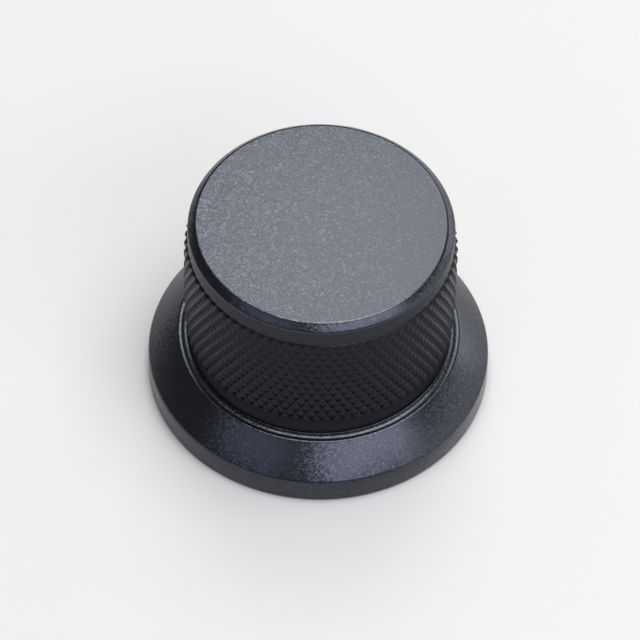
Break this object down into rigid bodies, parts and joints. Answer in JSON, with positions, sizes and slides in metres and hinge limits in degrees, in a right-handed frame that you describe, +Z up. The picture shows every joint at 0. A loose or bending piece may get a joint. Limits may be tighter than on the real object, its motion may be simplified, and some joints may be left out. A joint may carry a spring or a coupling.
{
  "type": "control knob",
  "caption": "Solid turned knob with a diamond-knurled grip, a flat top, a conical skirt and a blind shaft bore clamped by a set screw.",
  "frame": {"origin": "centre of the base, on the knob's axis, where the rim rests", "axes": "+Z up along the knob's axis, away from the panel; +Y towards the set screw, at the back in the picture"},
  "size_m": [0.0376, 0.0374, 0.025],
  "materials": {
    "anodised_body": "bead blasted, black anodised",
    "screw_steel": "black oxide"
  },
  "bodies": {
    "root": {"knob_body": "anodised_body", "set_screw": "screw_steel"}
  },
  "joints": []
}
